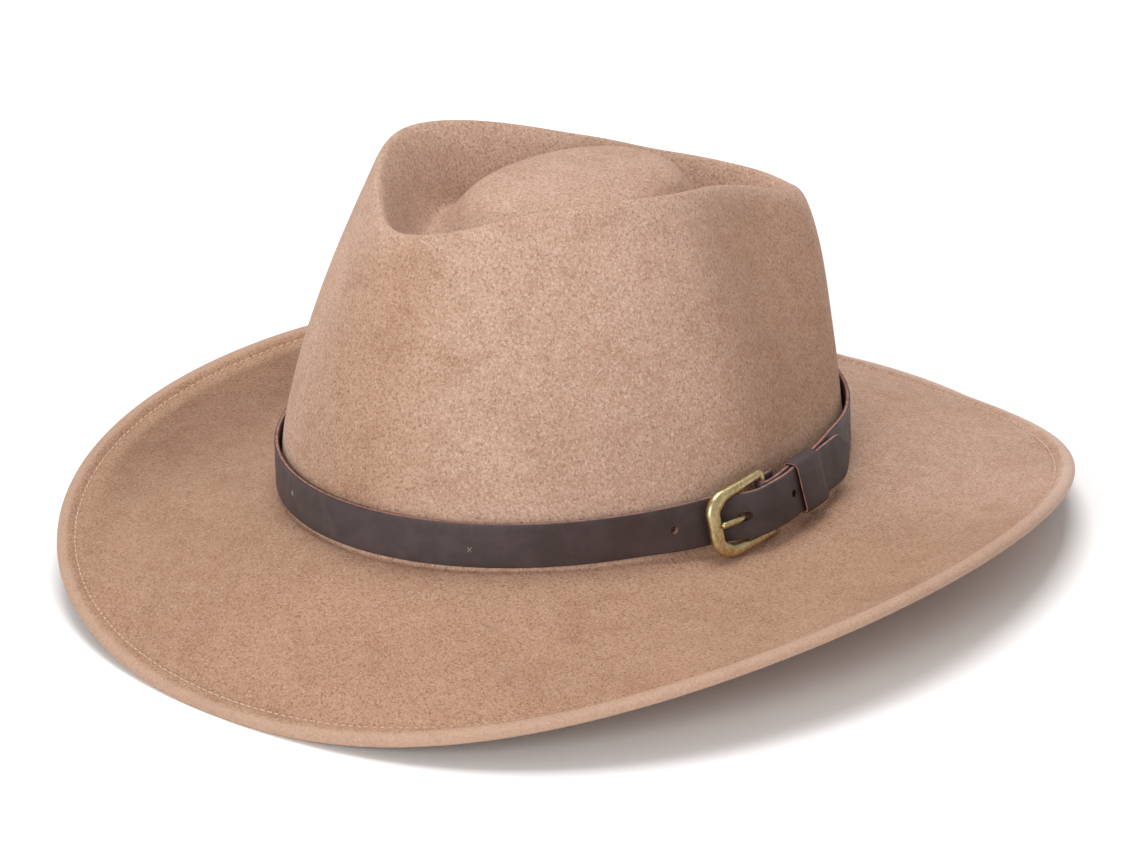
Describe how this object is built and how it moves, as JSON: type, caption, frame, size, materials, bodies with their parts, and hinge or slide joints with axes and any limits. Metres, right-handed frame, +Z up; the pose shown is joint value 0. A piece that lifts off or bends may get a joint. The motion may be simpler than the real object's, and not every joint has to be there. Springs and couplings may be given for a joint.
{
  "type": "wool felt hat",
  "caption": "Wide-brimmed wool felt hat with a pinched teardrop crown, a turned stitched edge and a buckled brown leather band.",
  "frame": {"origin": "middle of the hat's outline, on the surface it stands on", "axes": "+Z up, the hat faces -Y, the wearer's left is +X with the buckle on it"},
  "size_m": [0.3358, 0.3338, 0.1429],
  "materials": {
    "wool_felt": "soft matte nap",
    "brown_leather": "smooth semi-matte with raw pinkish edges",
    "antique_brass": "antique brass, worn bright on the high parts"
  },
  "bodies": {
    "root": {"felt_body": "wool_felt", "hat_band": "brown_leather", "keeper_loop": "brown_leather", "buckle_frame": "antique_brass", "buckle_prong": "antique_brass"}
  },
  "joints": []
}
